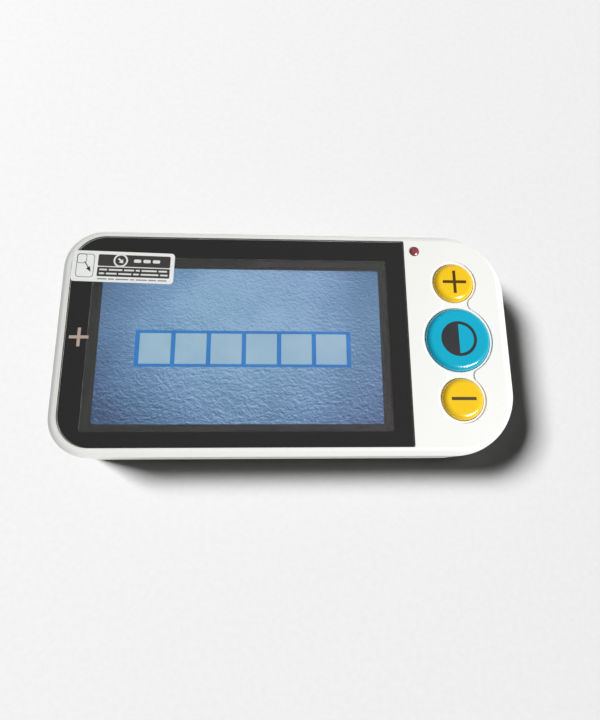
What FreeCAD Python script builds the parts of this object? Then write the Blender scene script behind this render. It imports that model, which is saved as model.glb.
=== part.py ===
import FreeCAD, Part
import os
import Sketcher

# Hand-held video magnifier: flat white case with a 4.3 inch display, three large front
# buttons, two side buttons, a camera and reading lights underneath and a fold-out handle.
# Millimetres, +Z up. The origin is on the surface that the four feet stand on, under the
# middle of the case; +X runs from the display to the buttons, +Y towards the side sockets.

V = FreeCAD.Vector
doc = FreeCAD.newDocument("VideoMagnifier")
sheet = doc.addObject("Spreadsheet::Sheet", "Dims")


class Q:
    """A size: its value and the expression over the sheet that gives it."""

    def __init__(self, v, e):
        self.v = float(v)
        self.e = e

    def __add__(self, o):
        o = q(o)
        return Q(self.v + o.v, "(%s + %s)" % (self.e, o.e))

    def __radd__(self, o):
        return q(o) + self

    def __sub__(self, o):
        o = q(o)
        return Q(self.v - o.v, "(%s - %s)" % (self.e, o.e))

    def __rsub__(self, o):
        return q(o) - self

    def __mul__(self, o):
        o = q(o)
        return Q(self.v * o.v, "(%s * %s)" % (self.e, o.e))

    def __rmul__(self, o):
        return q(o) * self

    def __truediv__(self, o):
        o = q(o)
        return Q(self.v / o.v, "(%s / %s)" % (self.e, o.e))

    def __neg__(self):
        return Q(-self.v, "(0 - %s)" % self.e)


def q(x):
    return x if isinstance(x, Q) else Q(x, "%.6g" % float(x))


rows = []


def dim(alias, value):
    rows.append(alias)
    sheet.set("A%d" % len(rows), alias)
    sheet.set("B%d" % len(rows), "%.6g" % float(value))
    sheet.setAlias("B%d" % len(rows), alias)
    return Q(value, "Dims." + alias)


# ---------------------------------------------------------------- driving dimensions
case_half_x = dim("case_half_x", 76.9)
case_half_y = dim("case_half_y", 39.1)
corner_left = dim("corner_left", 13.6)
corner_right = dim("corner_right", 21.6)
top_round = dim("top_round", 3.0)
bottom_round = dim("bottom_round", 3.0)
wall = dim("wall", 2.0)
z_base = dim("z_base", 1.0)
z_split = dim("z_split", 12.0)
z_rim = dim("z_rim", 22.8)
z_top = dim("z_top", 23.0)
plateau_left = dim("plateau_left", 73.85)
plateau_right = dim("plateau_right", 73.75)
plateau_y = dim("plateau_y", 36.6)
plateau_corner_left = dim("plateau_corner_left", 11.6)
plateau_corner_right = dim("plateau_corner_right", 16.4)
glass_left = dim("glass_left", 73.35)
glass_right = dim("glass_right", 41.45)
glass_y = dim("glass_y", 36.2)
glass_corner = dim("glass_corner", 11.0)
glass_thick = dim("glass_thick", 1.3)
view_left = dim("view_left", 66.25)
view_right = dim("view_right", 35.05)
view_low = dim("view_low", 31.2)
view_high = dim("view_high", 28.8)
lcd_mid_x = dim("lcd_mid_x", 15.45)
lcd_mid_y = dim("lcd_mid_y", 1.69)
lcd_half_x = dim("lcd_half_x", 47.52)
lcd_half_y = dim("lcd_half_y", 26.93)
key_x = dim("key_x", 58.45)
key_pitch = dim("key_pitch", 20.6)
key_small = dim("key_small", 7.1)
key_large = dim("key_large", 11.2)
key_rise = dim("key_rise", 1.2)
key_gap = dim("key_gap", 0.2)
key_flange = dim("key_flange", 0.9)
key_travel = dim("key_travel", 0.6)
dish_depth = dim("dish_depth", 0.45)
dish_small = dim("dish_small", 8.15)
dish_large = dim("dish_large", 12.2)
dish_neck = dim("dish_neck", 2.45)
legend_depth = dim("legend_depth", 0.35)
legend_half = dim("legend_half", 4.15)
legend_stroke = dim("legend_stroke", 1.05)
led_x = dim("led_x", 45.25)
led_y = dim("led_y", 32.4)
led_radius = dim("led_radius", 1.75)
board_half_y = dim("board_half_y", 30.5)
board_left = dim("board_left", 64.5)
board_right = dim("board_right", 44.0)
board_z = dim("board_z", 13.0)
board_thick = dim("board_thick", 1.2)
keyboard_z = dim("keyboard_z", 14.8)
boss_radius = dim("boss_radius", 2.6)
pilot_radius = dim("pilot_radius", 1.2)
column_radius = dim("column_radius", 3.4)
head_sink_radius = dim("head_sink_radius", 2.2)
screw_radius = dim("screw_radius", 1.15)
screw_head_radius = dim("screw_head_radius", 2.05)
screw_left_x = dim("screw_left_x", 67.7)
screw_left_y = dim("screw_left_y", 32.2)
screw_mid_x = dim("screw_mid_x", 5.0)
screw_mid_y = dim("screw_mid_y", 33.6)
screw_right_x = dim("screw_right_x", 70.9)
screw_right_y = dim("screw_right_y", 21.5)
side_key_z = dim("side_key_z", 16.5)
power_x = dim("power_x", 45.0)
freeze_x = dim("freeze_x", 27.0)
side_key_half = dim("side_key_half", 5.0)
side_key_radius = dim("side_key_radius", 2.0)
side_travel = dim("side_travel", 0.5)
usb_x = dim("usb_x", 20.0)
av_x = dim("av_x", 40.0)
av_z = dim("av_z", 17.1)
av_bore = dim("av_bore", 1.8)
camera_x = dim("camera_x", 22.0)
light_y = dim("light_y", 15.0)
bay_left = dim("bay_left", 69.0)
bay_right = dim("bay_right", 39.0)
bay_half_y = dim("bay_half_y", 27.0)
cover_left = dim("cover_left", 70.0)
cover_right = dim("cover_right", 33.0)
cover_half_y = dim("cover_half_y", 28.5)
hinge_x = dim("hinge_x", 69.5)
hinge_z = dim("hinge_z", 5.2)
hinge_pin_radius = dim("hinge_pin_radius", 1.5)
hinge_clear = dim("hinge_clear", 0.06)
handle_half_y = dim("handle_half_y", 15.0)
handle_half_thick = dim("handle_half_thick", 4.0)
handle_tip = dim("handle_tip", -3.5)
recess_half_y = dim("recess_half_y", 15.4)
recess_start = dim("recess_start", -10.0)
recess_z = dim("recess_z", 9.6)
foot_radius = dim("foot_radius", 2.9)
foot_left_x = dim("foot_left_x", 52.0)
foot_left_y = dim("foot_left_y", 32.8)
foot_right_x = dim("foot_right_x", 50.0)
foot_right_y = dim("foot_right_y", 28.0)
doc.recompute()

parts = []


def keep(obj, name):
    obj.Label = name
    parts.append((name, obj))
    return obj


def bind(obj, prop, x):
    obj.setExpression(prop, q(x).e)


def place(obj, x=0, y=0, z=0, rot=None):
    x, y, z = q(x), q(y), q(z)
    obj.Placement = FreeCAD.Placement(V(x.v, y.v, z.v), rot or FreeCAD.Rotation())
    bind(obj, "Placement.Base.x", x)
    bind(obj, "Placement.Base.y", y)
    bind(obj, "Placement.Base.z", z)


# ---------------------------------------------------------------- sketch profiles
def locate(sk, geo, pos, x=None, y=None):
    for axis, val in (("X", x), ("Y", y)):
        if val is None:
            continue
        val = q(val)
        if abs(val.v) < 1e-9:
            sk.addConstraint(Sketcher.Constraint("PointOnObject", geo, pos, -2 if axis == "X" else -1))
        elif val.v > 0:
            i = sk.addConstraint(Sketcher.Constraint("Distance" + axis, -1, 1, geo, pos, val.v))
            sk.setExpression("Constraints[%d]" % i, val.e)
        else:
            i = sk.addConstraint(Sketcher.Constraint("Distance" + axis, geo, pos, -1, 1, -val.v))
            sk.setExpression("Constraints[%d]" % i, (-val).e)


def radius(sk, geo, r):
    i = sk.addConstraint(Sketcher.Constraint("Radius", geo, q(r).v))
    sk.setExpression("Constraints[%d]" % i, q(r).e)


def rect(x0, x1, y0, y1, r=0):
    """Rectangle with corner radii: one value or (low left, low right, high right, high left)."""
    x0, x1, y0, y1 = q(x0), q(x1), q(y0), q(y1)
    rr = [q(k) for k in (r if isinstance(r, (tuple, list)) else (r, r, r, r))]

    def draw(sk):
        import math
        a, b, c, d = [k.v for k in rr]
        pts = [
            (V(x0.v + a, y0.v, 0), V(x1.v - b, y0.v, 0)),
            (V(x1.v, y0.v + b, 0), V(x1.v, y1.v - c, 0)),
            (V(x1.v - c, y1.v, 0), V(x0.v + d, y1.v, 0)),
            (V(x0.v, y1.v - d, 0), V(x0.v, y0.v + a, 0)),
        ]
        mids = [(x0.v + a, y0.v + a), (x1.v - b, y0.v + b), (x1.v - c, y1.v - c), (x0.v + d, y1.v - d)]
        ln = [sk.addGeometry(Part.LineSegment(p, s), False) for p, s in pts]
        for i in range(4):
            prev = ln[(i - 1) % 4]
            if rr[i].v > 0:
                start = math.pi + i * math.pi / 2
                arc = sk.addGeometry(
                    Part.ArcOfCircle(Part.Circle(V(mids[i][0], mids[i][1], 0), V(0, 0, 1), rr[i].v), start, start + math.pi / 2), False
                )
                sk.addConstraint(Sketcher.Constraint("Tangent", prev, 2, arc, 1))
                sk.addConstraint(Sketcher.Constraint("Tangent", arc, 2, ln[i], 1))
                radius(sk, arc, rr[i])
            else:
                sk.addConstraint(Sketcher.Constraint("Coincident", prev, 2, ln[i], 1))
        for i in (0, 2):
            sk.addConstraint(Sketcher.Constraint("Horizontal", ln[i]))
        for i in (1, 3):
            sk.addConstraint(Sketcher.Constraint("Vertical", ln[i]))
        locate(sk, ln[0], 1, y=y0)
        locate(sk, ln[1], 1, x=x1)
        locate(sk, ln[2], 1, y=y1)
        locate(sk, ln[3], 1, x=x0)

    return draw


def circle(x, y, r):
    def draw(sk):
        g = sk.addGeometry(Part.Circle(V(q(x).v, q(y).v, 0), V(0, 0, 1), q(r).v), False)
        locate(sk, g, 3, x, y)
        radius(sk, g, r)

    return draw


def poly(*pts):
    """Closed polygon through (x, y) points."""
    pts = [(q(x), q(y)) for x, y in pts]

    def draw(sk):
        n = len(pts)
        ln = []
        for i in range(n):
            p, s = pts[i], pts[(i + 1) % n]
            ln.append(sk.addGeometry(Part.LineSegment(V(p[0].v, p[1].v, 0), V(s[0].v, s[1].v, 0)), False))
        for i in range(n):
            sk.addConstraint(Sketcher.Constraint("Coincident", ln[i - 1], 2, ln[i], 1))
        for i in range(n):
            locate(sk, ln[i], 1, pts[i][0], pts[i][1])

    return draw


class Solid:
    """One PartDesign body built feature by feature; every sketch is on one of its own origin planes."""

    def __init__(self, name, x=0, y=0, z=0):
        self.body = doc.addObject("PartDesign::Body", name)
        self.name = name
        self.count = 0
        keep(self.body, name)
        place(self.body, x, y, z)

    def sketch(self, plane, off, profiles):
        self.count += 1
        sk = self.body.newObject("Sketcher::SketchObject", "%s_sketch_%d" % (self.name, self.count))
        for f in self.body.Origin.OriginFeatures:
            if f.Role == plane:
                sk.AttachmentSupport = (f, [""])
        sk.MapMode = "FlatFace"
        off = q(off)
        sk.AttachmentOffset = FreeCAD.Placement(V(0, 0, off.v), FreeCAD.Rotation())
        bind(sk, "AttachmentOffset.Base.z", off)
        for p in profiles:
            p(sk)
        return sk

    def volume(self):
        return self.body.Tip.Shape.Volume if self.body.Tip is not None and not self.body.Tip.Shape.isNull() else 0.0

    def pad(self, z0, z1, *profiles):
        before = self.volume()
        sk = self.sketch("XY_Plane", z0, profiles)
        f = self.body.newObject("PartDesign::Pad", "%s_pad_%d" % (self.name, self.count))
        f.Profile = sk
        bind(f, "Length", q(z1) - z0)
        doc.recompute()
        if not self.volume() > before:
            raise RuntimeError("pad adds nothing: " + f.Name)
        return f

    def cut(self, z0, z1, *profiles):
        before = self.volume()
        sk = self.sketch("XY_Plane", z1, profiles)
        f = self.body.newObject("PartDesign::Pocket", "%s_pocket_%d" % (self.name, self.count))
        f.Profile = sk
        bind(f, "Length", q(z1) - z0)
        doc.recompute()
        if not self.volume() < before:
            raise RuntimeError("pocket cuts nothing: " + f.Name)
        return f

    def cut_y(self, y0, y1, *profiles):
        """Pocket from y0 to y1 (y0 < y1); profiles are drawn in X and Z."""
        before = self.volume()
        sk = self.sketch("XZ_Plane", -q(y0), profiles)
        f = self.body.newObject("PartDesign::Pocket", "%s_pocket_%d" % (self.name, self.count))
        f.Profile = sk
        bind(f, "Length", q(y1) - y0)
        doc.recompute()
        if not self.volume() < before:
            raise RuntimeError("pocket cuts nothing: " + f.Name)
        return f

    def pad_y(self, y0, y1, *profiles):
        """Pad from y0 to y1 (y0 < y1); profiles are drawn in X and Z."""
        before = self.volume()
        sk = self.sketch("XZ_Plane", -q(y1), profiles)
        f = self.body.newObject("PartDesign::Pad", "%s_pad_%d" % (self.name, self.count))
        f.Profile = sk
        bind(f, "Length", q(y1) - y0)
        doc.recompute()
        if not self.volume() > before:
            raise RuntimeError("pad adds nothing: " + f.Name)
        return f

    def revolve(self, *profiles):
        """Turned about the body's own Z axis; profiles are drawn in X (radius) and Z."""
        sk = self.sketch("XZ_Plane", 0, profiles)
        f = self.body.newObject("PartDesign::Revolution", "%s_turn_%d" % (self.name, self.count))
        f.Profile = sk
        f.ReferenceAxis = (sk, ["V_Axis"])
        f.Angle = 360
        doc.recompute()
        return f

    def edges(self, test):
        tip = self.body.Tip
        out = []
        for i, e in enumerate(tip.Shape.Edges):
            if test(e):
                out.append("Edge%d" % (i + 1))
        if not out:
            raise RuntimeError("no edge found on " + self.name)
        return tip, out

    def dress(self, kind, size, test):
        self.count += 1
        tip, names = self.edges(test)
        f = self.body.newObject("PartDesign::" + kind, "%s_%s_%d" % (self.name, kind.lower(), self.count))
        f.Base = (tip, names)
        bind(f, "Radius" if kind == "Fillet" else "Size", size)
        doc.recompute()
        if "Invalid" in f.State or "Error" in f.State:
            raise RuntimeError("%s failed on %s" % (kind, self.name))
        return f


def flat_at(z, tol=1e-4):
    """Edges that lie wholly in the plane at height z."""
    return lambda e: abs(e.BoundBox.ZMin - q(z).v) < tol and abs(e.BoundBox.ZMax - q(z).v) < tol


# ---------------------------------------------------------------- primitives and booleans
ROT_Y = FreeCAD.Rotation(V(1, 0, 0), -90)  # a cylinder's axis turned to +Y
ROT_X = FreeCAD.Rotation(V(0, 1, 0), 90)  # a cylinder's axis turned to +X
serial = [0]


def fresh(stem):
    serial[0] += 1
    return "%s_%d" % (stem, serial[0])


def box(x0, x1, y0, y1, z0, z1, name=None):
    o = doc.addObject("Part::Box", name or fresh("box"))
    bind(o, "Length", q(x1) - x0)
    bind(o, "Width", q(y1) - y0)
    bind(o, "Height", q(z1) - z0)
    place(o, x0, y0, z0)
    if name:
        keep(o, name)
    return o


def cyl(x, y, z0, z1, r, name=None):
    o = doc.addObject("Part::Cylinder", name or fresh("cyl"))
    bind(o, "Radius", r)
    bind(o, "Height", q(z1) - z0)
    place(o, x, y, z0)
    if name:
        keep(o, name)
    return o


def cyl_y(x, z, y0, y1, r, name=None):
    o = doc.addObject("Part::Cylinder", name or fresh("cyl"))
    bind(o, "Radius", r)
    bind(o, "Height", q(y1) - y0)
    place(o, x, y0, z, ROT_Y)
    if name:
        keep(o, name)
    return o


def cut(base, tools, name=None):
    for i, tool in enumerate(tools):
        last = i == len(tools) - 1
        o = doc.addObject("Part::Cut", name if (name and last) else fresh("cut"))
        o.Base = base
        o.Tool = tool
        base = o
    if name:
        keep(base, name)
    return base


def fuse(shapes, name=None):
    o = doc.addObject("Part::MultiFuse", name or fresh("fuse"))
    o.Shapes = shapes
    if name:
        keep(o, name)
    return o


def common(a, b):
    o = doc.addObject("Part::Common", fresh("common"))
    o.Base = a
    o.Tool = b
    return o


def group(shapes, name):
    """Identical or like pieces that share one node as separate solids."""
    o = doc.addObject("Part::Compound", name)
    o.Links = shapes
    keep(o, name)
    return o


SIDES = (1, -1)
z_floor = 3.0
z_roof = 21.0
post_left_x = 29.0
post_right_x = 30.0
post_y = 26.5


def outline(inset):
    i = q(inset)
    return rect(
        -case_half_x + i, case_half_x - i, -case_half_y + i, case_half_y - i,
        (corner_left - i, corner_right - i, corner_right - i, corner_left - i),
    )


SCREWS = []
for s in SIDES:
    SCREWS.append((-screw_left_x, screw_left_y * s, 16.5))
    SCREWS.append((screw_mid_x, screw_mid_y * s, 16.5))
    SCREWS.append((screw_right_x, screw_right_y * s, 19.0))


def dish(sk):
    """Keyhole outline round the three buttons: two small circles and a large one, joined by hollow necks."""
    import math
    cx, p = key_x.v, key_pitch.v
    rs, rl, rn = dish_small.v, dish_large.v, dish_neck.v
    # the neck circle touches both button circles from outside
    a, b = rl + rn, rs + rn
    yn = (a * a - b * b + p * p) / (2 * p)
    xn = math.sqrt(a * a - yn * yn)
    ab = math.atan2(yn, xn)  # direction of the neck centre from the large centre
    sb = math.atan2(yn - p, xn)  # and from the small centre

    def arc(x, y, r, a0, a1):
        return sk.addGeometry(Part.ArcOfCircle(Part.Circle(V(x, y, 0), V(0, 0, 1), r), a0, a1), False)

    pi = math.pi
    right = arc(cx, 0, rl, -ab, ab)
    neck_ur = arc(cx + xn, yn, rn, pi + sb, pi + ab)
    top = arc(cx, p, rs, sb, pi - sb)
    neck_ul = arc(cx - xn, yn, rn, -ab, -sb)
    left = arc(cx, 0, rl, pi - ab, pi + ab)
    neck_ll = arc(cx - xn, -yn, rn, sb, ab)
    low = arc(cx, -p, rs, pi + sb, 2 * pi - sb)
    neck_lr = arc(cx + xn, -yn, rn, pi - ab, pi - sb)
    for m, mp, n, np_ in (
        (right, 2, neck_ur, 2), (neck_ur, 1, top, 1), (top, 2, neck_ul, 2), (neck_ul, 1, left, 1),
        (left, 2, neck_ll, 2), (neck_ll, 1, low, 1), (low, 2, neck_lr, 2), (neck_lr, 1, right, 1),
    ):
        sk.addConstraint(Sketcher.Constraint("Tangent", m, mp, n, np_))
    locate(sk, right, 3, key_x, 0)
    locate(sk, left, 3, key_x, 0)
    locate(sk, top, 3, key_x, key_pitch)
    locate(sk, low, 3, key_x, -key_pitch)
    radius(sk, right, dish_large)
    radius(sk, top, dish_small)
    sk.addConstraint(Sketcher.Constraint("Equal", right, left))
    sk.addConstraint(Sketcher.Constraint("Equal", top, low))
    radius(sk, neck_ur, dish_neck)
    for n in (neck_ul, neck_ll, neck_lr):
        sk.addConstraint(Sketcher.Constraint("Equal", neck_ur, n))


# ---------------------------------------------------------------- front shell
front = Solid("front_shell")
front.pad(z_split, z_rim, outline(0))
front.dress("Fillet", top_round, flat_at(z_rim))
front.dress("Chamfer", 0.3, flat_at(z_split))
front.pad(
    z_rim - 0.5, z_top,
    rect(-plateau_left, plateau_right, -plateau_y, plateau_y,
         (plateau_corner_left, plateau_corner_right, plateau_corner_right, plateau_corner_left)),
)
front.dress("Fillet", 0.1, flat_at(z_top))
front.cut(z_split, z_roof, outline(wall))
# bed of the display window and the opening behind it
front.cut(
    z_top - glass_thick - 0.2, z_top,
    rect(-glass_left - 0.1, glass_right + 0.1, -glass_y - 0.1, glass_y + 0.1,
         (glass_corner + 0.1, 0.6, 0.6, glass_corner + 0.1)),
)
front.cut(z_roof - 0.5, z_top - glass_thick, rect(-view_left - 0.15, view_right + 0.15, -view_low - 0.2, view_high + 0.2, 1.0))
# keyhole dish and the three button holes
front.cut(z_top - dish_depth, z_top, dish)
front.cut(z_roof - 0.5, z_top, circle(key_x, key_pitch, key_small + key_gap), circle(key_x, 0, key_large + key_gap),
          circle(key_x, -key_pitch, key_small + key_gap))
front.cut(z_roof - 0.5, z_top, circle(led_x, led_y, led_radius + 0.05))
# ribs and bosses for the case screws, posts for the keypad board
for s in SIDES:
    front.pad(z_split + 1.4, 17.5, circle(-screw_left_x - 2.5, screw_left_y * s + 2.4 * s, 2.0))
    y0, y1 = (screw_mid_y, case_half_y - wall + 0.4) if s > 0 else (-case_half_y + wall - 0.4, -screw_mid_y)
    front.pad(z_split + 1.4, 17.5, rect(screw_mid_x - 1, screw_mid_x + 1, y0, y1))
    front.pad(z_split, 17.5, circle(-screw_left_x, screw_left_y * s, boss_radius), circle(screw_mid_x, screw_mid_y * s, boss_radius))
    front.pad(z_split, z_roof + 0.2, circle(screw_right_x, screw_right_y * s, boss_radius))
    front.pad(keyboard_z + board_thick, z_roof + 0.2, circle(65.0, 29.0 * s, 2.0), circle(51.0, 30.3 * s, 2.0))
    front.cut(z_split, 17.0, circle(-screw_left_x, screw_left_y * s, pilot_radius), circle(screw_mid_x, screw_mid_y * s, pilot_radius))
    front.cut(z_split, 19.5, circle(screw_right_x, screw_right_y * s, pilot_radius))
    front.cut(keyboard_z + board_thick, 20.0, circle(65.0, 29.0 * s, 0.9), circle(51.0, 30.3 * s, 0.9))
# sockets and side buttons in the +Y wall
wall_in = case_half_y - wall - 0.5
front.cut_y(wall_in, case_half_y + 0.2, rect(usb_x - 4.6, usb_x + 4.6, 14.05, 17.6, 1.6), circle(av_x, av_z, 3.1))
for bx in (power_x, freeze_x):
    front.cut_y(
        case_half_y - 0.9, case_half_y + 0.2,
        rect(-bx - side_key_half - 2, -bx + side_key_half + 2, side_key_z - 3, side_key_z + 3, 2.9),
    )
    front.cut_y(
        wall_in, case_half_y + 0.2,
        rect(-bx - side_key_half - 0.15, -bx + side_key_half + 0.15, side_key_z - side_key_radius - 0.15,
             side_key_z + side_key_radius + 0.15, side_key_radius + 0.1),
    )

# ---------------------------------------------------------------- rear shell
rear = Solid("rear_shell")
rear.pad(z_base, z_split, outline(0))
rear.dress("Fillet", bottom_round, flat_at(z_base))
rear.dress("Chamfer", 0.3, flat_at(z_split))
rear.cut(z_floor, z_split, outline(wall))
# locating lip that rises inside the front shell
rear.pad(z_split - 1.5, z_split, outline(wall - 0.2), outline(wall + 1.0))
rear.pad(z_split - 0.2, z_split + 1.2, outline(wall + 0.12), outline(wall + 1.0))
# screw columns, board posts
rear.pad(z_floor - 0.1, z_split - 0.1, *[circle(x, y, column_radius) for x, y, t in SCREWS])
rear.cut(z_split, z_split + 1.3, *[circle(x, y, boss_radius + 0.4) for x, y, t in SCREWS])
rear.pad(z_floor - 0.1, board_z, *[circle(x, post_y * s, 2.4) for x in (-post_left_x, post_right_x) for s in SIDES])
rear.cut(8.0, board_z + 0.1, *[circle(x, post_y * s, 0.9) for x in (-post_left_x, post_right_x) for s in SIDES])
rear.cut(z_base - 0.1, z_base + 3.0, *[circle(x, y, head_sink_radius) for x, y, t in SCREWS])
rear.cut(z_base, z_split, *[circle(x, y, screw_radius + 0.2) for x, y, t in SCREWS])
# handle recess, open at the +X end, with the hinge walls
rear.pad(z_floor - 0.1, recess_z + 1.6, rect(recess_start - 1.6, case_half_x - 1.0, -recess_half_y - 1.8, recess_half_y + 1.8))
rear.cut(z_base - 0.1, recess_z, rect(recess_start, case_half_x + 1.0, -recess_half_y, recess_half_y, (3.0, 0, 0, 3.0)))
rear.cut_y(-recess_half_y - 1.9, recess_half_y + 1.9, circle(hinge_x, hinge_z, hinge_pin_radius))
# camera well: trim seat, window seat, barrel hole; reading light windows
rear.pad(z_floor - 0.1, z_floor + 1.5, circle(-camera_x, 0, 10.0))
rear.cut(z_base - 0.1, z_base + 0.9, circle(-camera_x, 0, 9.1))
rear.cut(z_base + 0.8, z_base + 2.1, circle(-camera_x, 0, 7.0))
rear.cut(z_base + 2.0, z_floor + 1.6, circle(-camera_x, 0, 5.8))
rear.cut(z_base - 0.1, z_floor + 0.1, circle(-camera_x, light_y, 3.2), circle(-camera_x, -light_y, 3.2))
# battery bay with its cover seat, contact slot and cover boss
rear.pad(z_floor - 0.1, 9.8, rect(-bay_left - 1.5, -bay_right + 1.5, -bay_half_y - 1.5, bay_half_y + 1.5))
rear.pad(z_floor - 0.1, 9.0, circle(-36.0, 0, 2.8))
rear.cut(z_base - 0.1, 8.6, rect(-bay_left, -bay_right, -bay_half_y, bay_half_y, 1.0))
rear.cut(z_base - 0.1, z_base + 1.2, rect(-cover_left - 0.2, -cover_right + 0.2, -cover_half_y - 0.2, cover_half_y + 0.2, 4.0))
rear.cut(z_base + 1.1, 8.0, circle(-36.0, 0, pilot_radius))
rear.cut(4.0, 7.0, rect(-bay_right - 0.1, -bay_right + 1.6, 10.0, 20.0))
# foot sockets
FEET = [(-foot_left_x, foot_left_y * s) for s in SIDES] + [(foot_right_x, foot_right_y * s) for s in SIDES]
rear.cut(z_base - 0.1, z_base + 0.5, *[circle(x, y, foot_radius + 0.05) for x, y in FEET])
# wrist strap eye in the -X end
rear.pad(z_floor - 0.1, 11.5, rect(-case_half_x + 1.2, -71.2, -6.0, 6.0))
rear.cut(4.0, 10.0, rect(-case_half_x - 0.8, -72.6, -4.0, 4.0, 1.0))
rear.cut(z_floor, 11.0, circle(-75.0, 0, 0.8))

# ---------------------------------------------------------------- display stack
window = Solid("display_window")
window.pad(z_top - glass_thick, z_top, rect(-glass_left, glass_right, -glass_y, glass_y, (glass_corner, 0.5, 0.5, glass_corner)))
window.dress("Chamfer", 0.15, flat_at(z_top))

gasket = Solid("window_gasket")
gasket.pad(
    z_top - glass_thick - 0.2, z_top - glass_thick,
    rect(-glass_left + 0.15, glass_right - 0.15, -glass_y + 0.15, glass_y - 0.15, (glass_corner, 0.5, 0.5, glass_corner)),
    rect(-view_left, view_right, -view_low, view_high, 0.8),
)

sticker = Solid("screen_sticker", -56.0, 24.74, 0)
sticker.body.Placement = FreeCAD.Placement(V(-56.0, 24.74, 0), FreeCAD.Rotation(V(0, 0, 1), -1.4))
sticker.pad(z_top, z_top + 0.1, rect(-17.2, 17.2, -5.6, 5.6, 1.3))

frame = Solid("lcd_frame")
frame.pad(18.1, z_roof - 0.05, rect(-67.0, 36.05, -32.7, 29.3, 0.8))
frame.cut(18.1, z_roof - 0.25, rect(-lcd_mid_x - 49.85, -lcd_mid_x + 49.85, -lcd_mid_y - 29.3, -lcd_mid_y + 29.3))
frame.cut(z_roof - 0.25, z_roof - 0.05, rect(-lcd_mid_x - 48.5, -lcd_mid_x + 48.5, -lcd_mid_y - 27.9, -lcd_mid_y + 27.9, 0.3))

panel = Solid("lcd_panel")
panel.pad(19.5, z_roof - 0.3, rect(-lcd_mid_x - 49.75, -lcd_mid_x + 49.75, -lcd_mid_y - 29.2, -lcd_mid_y + 29.2))
back = Solid("lcd_backlight")
back.pad(18.2, 19.45, rect(-lcd_mid_x - 49.7, -lcd_mid_x + 49.7, -lcd_mid_y - 29.15, -lcd_mid_y + 29.15, 0.5))

ribbon = Solid("lcd_ribbon")
ribbon.pad_y(-10.0, 10.0, poly((20.0, 17.8), (38.0, 17.8), (38.0, 14.25), (43.0, 14.25), (43.0, 14.4), (38.15, 14.4), (38.15, 17.95), (20.0, 17.95)))

# ---------------------------------------------------------------- boards
main = Solid("main_board")
main.pad(board_z, board_z + board_thick, poly(
    (-board_left, -board_half_y), (board_right, -board_half_y), (board_right, 35.8), (10.0, 35.8), (10.0, board_half_y),
    (-20.0, board_half_y), (-20.0, 34.2), (-52.0, 34.2), (-52.0, board_half_y), (-board_left, board_half_y)))
main.cut(board_z, board_z + board_thick, *[circle(x, post_y * s, 1.1) for x in (-post_left_x, post_right_x) for s in SIDES])
ztop = board_z + board_thick
group([
    box(-46.0, -34.0, 4.0, 16.0, ztop, ztop + 1.4), box(-58.0, -50.0, -20.0, -12.0, ztop, ztop + 1.0),
    box(-26.0, -16.0, -22.0, -12.0, ztop, ztop + 1.2), box(-22.0, -14.0, 14.0, 20.0, ztop, ztop + 1.2),
    box(22.0, 30.0, -24.0, -16.0, ztop, ztop + 1.1), box(-44.0, -38.0, -12.0, -6.0, ztop, ztop + 0.9),
], "board_chips")
shield = Solid("processor_shield")
shield.pad(ztop, ztop + 2.2, rect(-8.0, 14.0, -11.0, 11.0, 0.8))
shield.cut(ztop, ztop + 2.0, rect(-7.8, 13.8, -10.8, 10.8, 0.6))

keys = Solid("keypad_board")
keys.pad(keyboard_z, keyboard_z + board_thick, poly(
    (48.2, -32.0), (67.6, -32.0), (67.6, 32.0), (54.0, 32.0), (54.0, 34.5), (43.9, 34.5), (43.9, 29.5), (48.2, 29.5)))
POSTS = [(x, y * s) for x, y in ((65.0, 29.0), (51.0, 30.3)) for s in SIDES]
keys.cut(keyboard_z, keyboard_z + board_thick, *[circle(x, y, 1.0) for x, y in POSTS])
keytop = keyboard_z + board_thick
box(40.0, 52.0, -16.0, -8.0, 14.55, 14.7, name="keypad_ribbon")

switches = []
for y in (key_pitch, q(0), -key_pitch):
    switches.append(cut(box(key_x - 3, key_x + 3, y - 3, y + 3, keytop, keytop + 2.3), [cyl(key_x, y, keytop + 1.05, keytop + 3, 1.8)]))
group(switches, "tact_switches")
switches = []
for bx in (power_x, freeze_x):
    switches.append(cut(box(-bx - 3, -bx + 3, 29.9, 33.4, ztop, ztop + 4.0), [cyl_y(-bx, side_key_z, 32.2, 34.0, 1.05)]))
group(switches, "side_switches")

box(led_x - 1.4, led_x + 1.4, led_y - 1.0, led_y + 1.0, keytop, keytop + 1.2, name="status_led")
lens = Solid("status_led_lens", led_x, led_y, 0)
lens.revolve(poly((0, 17.4), (1.2, 17.4), (1.2, 20.4), (led_radius, 20.4), (led_radius, 23.15), (1.55, 23.45), (1.1, 23.68), (0.55, 23.8), (0, 23.83)))
cut(cyl(-56.0, 22.0, ztop, ztop + 3.0, 4.5), [cyl(-56.0, 22.0, ztop + 2.0, ztop + 3.2, 0.8)], "buzzer")

usb = Solid("usb_port")
usb.pad_y(31.0, 38.9, rect(usb_x - 4.47, usb_x + 4.47, ztop, ztop + 3.26, 1.5))
usb.cut_y(32.4, 39.0, rect(usb_x - 4.17, usb_x + 4.17, ztop + 0.3, ztop + 2.96, 1.25))
usb.pad_y(32.0, 38.2, rect(usb_x - 3.35, usb_x + 3.35, ztop + 1.28, ztop + 1.98))
jack = Solid("av_jack")
jack.pad_y(24.0, 36.9, rect(av_x - 3.5, av_x + 3.5, ztop, ztop + 5.8, 0.5))
jack.pad_y(36.5, case_half_y - 0.2, circle(av_x, av_z, 2.9))
jack.cut_y(25.0, case_half_y, circle(av_x, av_z, av_bore))

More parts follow.
